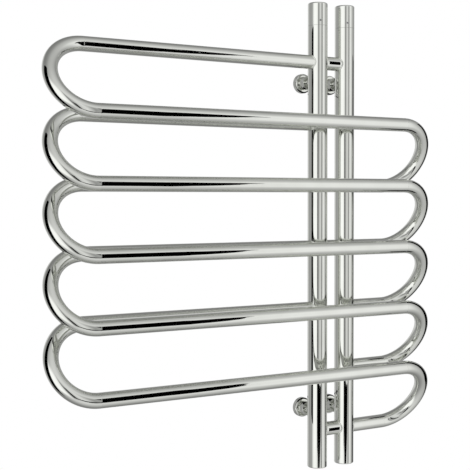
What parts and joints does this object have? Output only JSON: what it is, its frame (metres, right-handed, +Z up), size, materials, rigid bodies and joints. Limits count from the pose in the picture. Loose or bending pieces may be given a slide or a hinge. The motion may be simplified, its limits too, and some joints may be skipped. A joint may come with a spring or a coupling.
{
  "type": "towel warmer rack",
  "caption": "Wall-hung hot-water towel rack of polished tube: twin upright collectors joined by looped bars that stand out in front",
  "frame": {"origin": "on the wall's surface, midway between the two collectors and level with the middle bar: the centre of the four wall brackets", "axes": "+X right as seen from the room, +Y into the wall, +Z up"},
  "size_m": [0.679, 0.119, 0.7563],
  "materials": {
    "polished_steel": "mirror polished",
    "brass": "turned",
    "dark_steel": "plain hardened screw",
    "rubber": "moulded"
  },
  "bodies": {
    "wall_fixings": {"upper_left_rosette": "polished_steel", "upper_left_holder": "polished_steel", "upper_left_grub_screw": "dark_steel", "upper_right_rosette": "polished_steel", "upper_right_holder": "polished_steel", "upper_right_grub_screw": "dark_steel", "lower_left_rosette": "polished_steel", "lower_left_holder": "polished_steel", "lower_left_grub_screw": "dark_steel", "lower_right_rosette": "polished_steel", "lower_right_holder": "polished_steel", "lower_right_grub_screw": "dark_steel"},
    "rack": {"left_collector": "polished_steel", "right_collector": "polished_steel", "left_bar_1": "polished_steel", "left_bend_1": "polished_steel", "front_bar_1": "polished_steel", "right_bend_1": "polished_steel", "right_bar_1": "polished_steel", "left_bar_2": "polished_steel", "left_bend_2": "polished_steel", "front_bar_2": "polished_steel", "right_bend_2": "polished_steel", "right_bar_2": "polished_steel", "left_bar_3": "polished_steel", "left_bend_3": "polished_steel", "front_bar_3": "polished_steel", "right_bend_3": "polished_steel", "right_bar_3": "polished_steel", "left_bar_4": "polished_steel", "left_bend_4": "polished_steel", "front_bar_4": "polished_steel", "right_bend_4": "polished_steel", "right_bar_4": "polished_steel", "left_bar_5": "polished_steel", "left_bend_5": "polished_steel", "front_bar_5": "polished_steel", "right_bend_5": "polished_steel", "right_bar_5": "polished_steel", "upper_link": "polished_steel", "middle_link": "polished_steel", "lower_link": "polished_steel", "left_socket": "polished_steel", "left_end_plug": "polished_steel", "left_vent_seal": "rubber", "left_vent_body": "brass", "right_socket": "polished_steel", "right_end_plug": "polished_steel", "right_vent_seal": "rubber", "right_vent_body": "brass", "upper_left_stem": "polished_steel", "upper_right_stem": "polished_steel", "lower_left_stem": "polished_steel", "lower_right_stem": "polished_steel"},
    "left_cap": {"left_cap": "polished_steel", "left_cap_screw": "dark_steel"},
    "right_cap": {"right_cap": "polished_steel", "right_cap_screw": "dark_steel"},
    "left_vent_needle": {"left_vent_needle": "brass"},
    "right_vent_needle": {"right_vent_needle": "brass"}
  },
  "joints": [
    {"name": "depth_adjust", "type": "slide", "parent": "wall_fixings", "child": "rack", "axis": [0, -1, 0], "range_m": [-0.004, 0.006]},
    {"name": "left_cap_lift", "type": "slide", "parent": "rack", "child": "left_cap", "axis": [0, 0, 1], "range_m": [0, 0.045]},
    {"name": "right_cap_lift", "type": "slide", "parent": "rack", "child": "right_cap", "axis": [0, 0, 1], "range_m": [0, 0.045]},
    {"name": "left_vent_turn", "type": "hinge", "parent": "rack", "child": "left_vent_needle", "pos_m": [-0.027, -0.048, 0.366], "axis": [0, 0, 1], "range_deg": [0, 360]},
    {"name": "right_vent_turn", "type": "hinge", "parent": "rack", "child": "right_vent_needle", "pos_m": [0.027, -0.048, 0.366], "axis": [0, 0, 1], "range_deg": [0, 360]}
  ]
}
